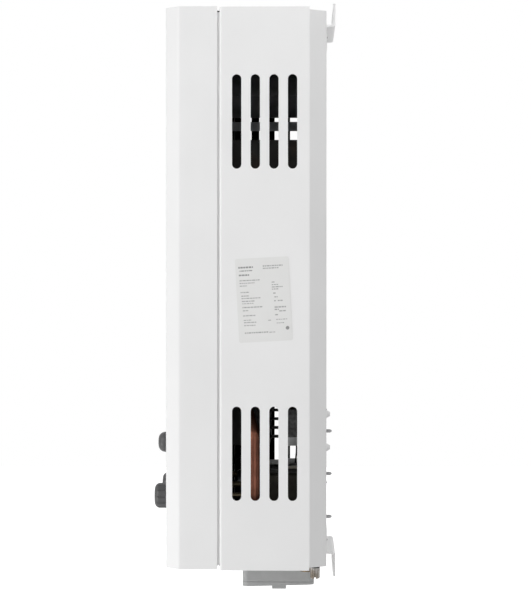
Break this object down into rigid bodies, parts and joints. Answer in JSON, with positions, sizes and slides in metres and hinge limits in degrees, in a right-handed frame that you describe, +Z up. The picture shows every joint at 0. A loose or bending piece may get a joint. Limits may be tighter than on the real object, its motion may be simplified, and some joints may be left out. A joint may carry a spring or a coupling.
{
  "type": "portable propane water heater",
  "caption": "Wall-hung tankless gas water heater with a white sheet-steel casing, side vent slots, front knobs, battery box and threaded water and gas connections.",
  "frame": {"origin": "midway between the two upper hanging holes, on the wall plane", "axes": "+Z up, the front faces -Y, +X to the right seen from the front"},
  "size_m": [0.3402, 0.1779, 0.5873],
  "materials": {
    "white_powder_coat": "white powder coat, slight orange peel",
    "galvanised": "galvanised sheet",
    "zinc_screws": "zinc plated",
    "label_paper": "satin label",
    "dark_plastic": "dark grey moulded",
    "grey_plastic": "grey moulded",
    "black_plastic": "black moulded",
    "chrome_trim": "bright trim",
    "window_glass": "heat-resistant, smoked",
    "display_glass": "dark display",
    "copper": "copper tube",
    "coated_copper": "dark heat-resistant coat",
    "brass": "turned brass",
    "die_cast": "die-cast body",
    "burner_steel": "stainless, heat tinted",
    "ceramic": "glazed ceramic",
    "lead_rubber": "silicone lead",
    "seal_rubber": "seal",
    "cell_wrap": "plain wrap",
    "spring_steel": "spring steel"
  },
  "bodies": {
    "root": {"battery_box": "grey_plastic", "battery_cells": "cell_wrap", "bottom_plate": "white_powder_coat", "burner_bars": "burner_steel", "burner_frame": "burner_steel", "button_guide": "black_plastic", "button_spring": "spring_steel", "bypass_pipe": "copper", "chamber_brackets": "galvanised", "cold_inlet": "brass", "cold_pipe": "copper", "combustion_chamber": "coated_copper", "control_box": "black_plastic", "diaphragm_housing": "brass", "display_bezel": "chrome_trim", "display_module": "display_glass", "draught_baffle": "galvanised", "electrodes": "ceramic", "exchanger_fins": "copper", "exchanger_shell": "coated_copper", "exchanger_tube": "copper", "flue_hood": "galvanised", "front_cover": "white_powder_coat", "gas_inlet": "brass", "gas_manifold": "die_cast", "gas_pipes": "copper", "gas_valve_body": "die_cast", "hot_outlet": "brass", "hot_pipe": "copper", "injectors": "brass", "leads": "lead_rubber", "lid_hinge_pin": "spring_steel", "lower_hanger": "white_powder_coat", "manifold_bracket": "galvanised", "micro_switch": "black_plastic", "mount_plates": "galvanised", "pipe_nuts": "brass", "rating_label": "label_paper", "rear_casing": "white_powder_coat", "screws": "zinc_screws", "season_valve": "die_cast", "solenoid_valve": "galvanised", "top_plate": "white_powder_coat", "upper_hanger": "white_powder_coat", "valve_link": "die_cast", "water_valve_body": "brass", "window_frame": "chrome_trim", "window_pane": "window_glass"},
    "water_knob": {"water_knob": "dark_plastic", "water_spindle": "brass"},
    "gas_knob": {"gas_knob": "dark_plastic", "gas_spindle": "brass"},
    "season_knob": {"season_knob": "dark_plastic", "season_spindle": "brass"},
    "power_button": {"power_button": "dark_plastic"},
    "battery_lid": {"battery_lid": "grey_plastic"},
    "push_rod": {"push_rod": "spring_steel"},
    "switch_lever": {"switch_lever": "spring_steel"},
    "drain_seal": {"drain_seal": "seal_rubber"},
    "drain_plug": {"drain_plug": "brass"}
  },
  "joints": [
    {"name": "water_knob_turn", "type": "hinge", "parent": "root", "child": "water_knob", "pos_m": [0.098, -0.1705, -0.479], "axis": [0, -1, 0], "range_deg": [-270, 0]},
    {"name": "gas_knob_turn", "type": "hinge", "parent": "root", "child": "gas_knob", "pos_m": [0, -0.1705, -0.479], "axis": [0, -1, 0], "range_deg": [-180, 0]},
    {"name": "season_knob_turn", "type": "hinge", "parent": "root", "child": "season_knob", "pos_m": [-0.098, -0.1705, -0.479], "axis": [0, -1, 0], "range_deg": [-90, 0]},
    {"name": "power_button_press", "type": "slide", "parent": "root", "child": "power_button", "axis": [0, 1, 0], "range_m": [0, 0.0025], "stiffness_N_per_m": 400, "deforming": ["button_spring"]},
    {"name": "battery_lid_hinge", "type": "hinge", "parent": "root", "child": "battery_lid", "pos_m": [0.02535, -0.05725, -0.5692], "axis": [0, 1, 0], "range_deg": [0, 95]},
    {"name": "push_rod_slide", "type": "slide", "parent": "root", "child": "push_rod", "axis": [-1, 0, 0], "range_m": [0, 0.004], "stiffness_N_per_m": 300},
    {"name": "switch_lever_swing", "type": "hinge", "parent": "root", "child": "switch_lever", "pos_m": [0.0423, -0.0405, -0.4545], "axis": [0, 1, 0], "range_deg": [0, 15]},
    {"name": "drain_seal_slide", "type": "slide", "parent": "root", "child": "drain_seal", "axis": [0, 0, -1], "range_m": [0, 0.0059]},
    {"name": "drain_plug_turn", "type": "hinge", "parent": "drain_seal", "child": "drain_plug", "pos_m": [0.122, -0.021, -0.549], "axis": [0, 0, -1], "range_deg": [0, 1700]}
  ],
  "couplings": [
    {"joint": "switch_lever_swing", "follows": "push_rod_slide", "rad_per_m": 65},
    {"joint": "drain_plug_turn", "follows": "drain_seal_slide", "rad_per_m": 5026.5}
  ]
}
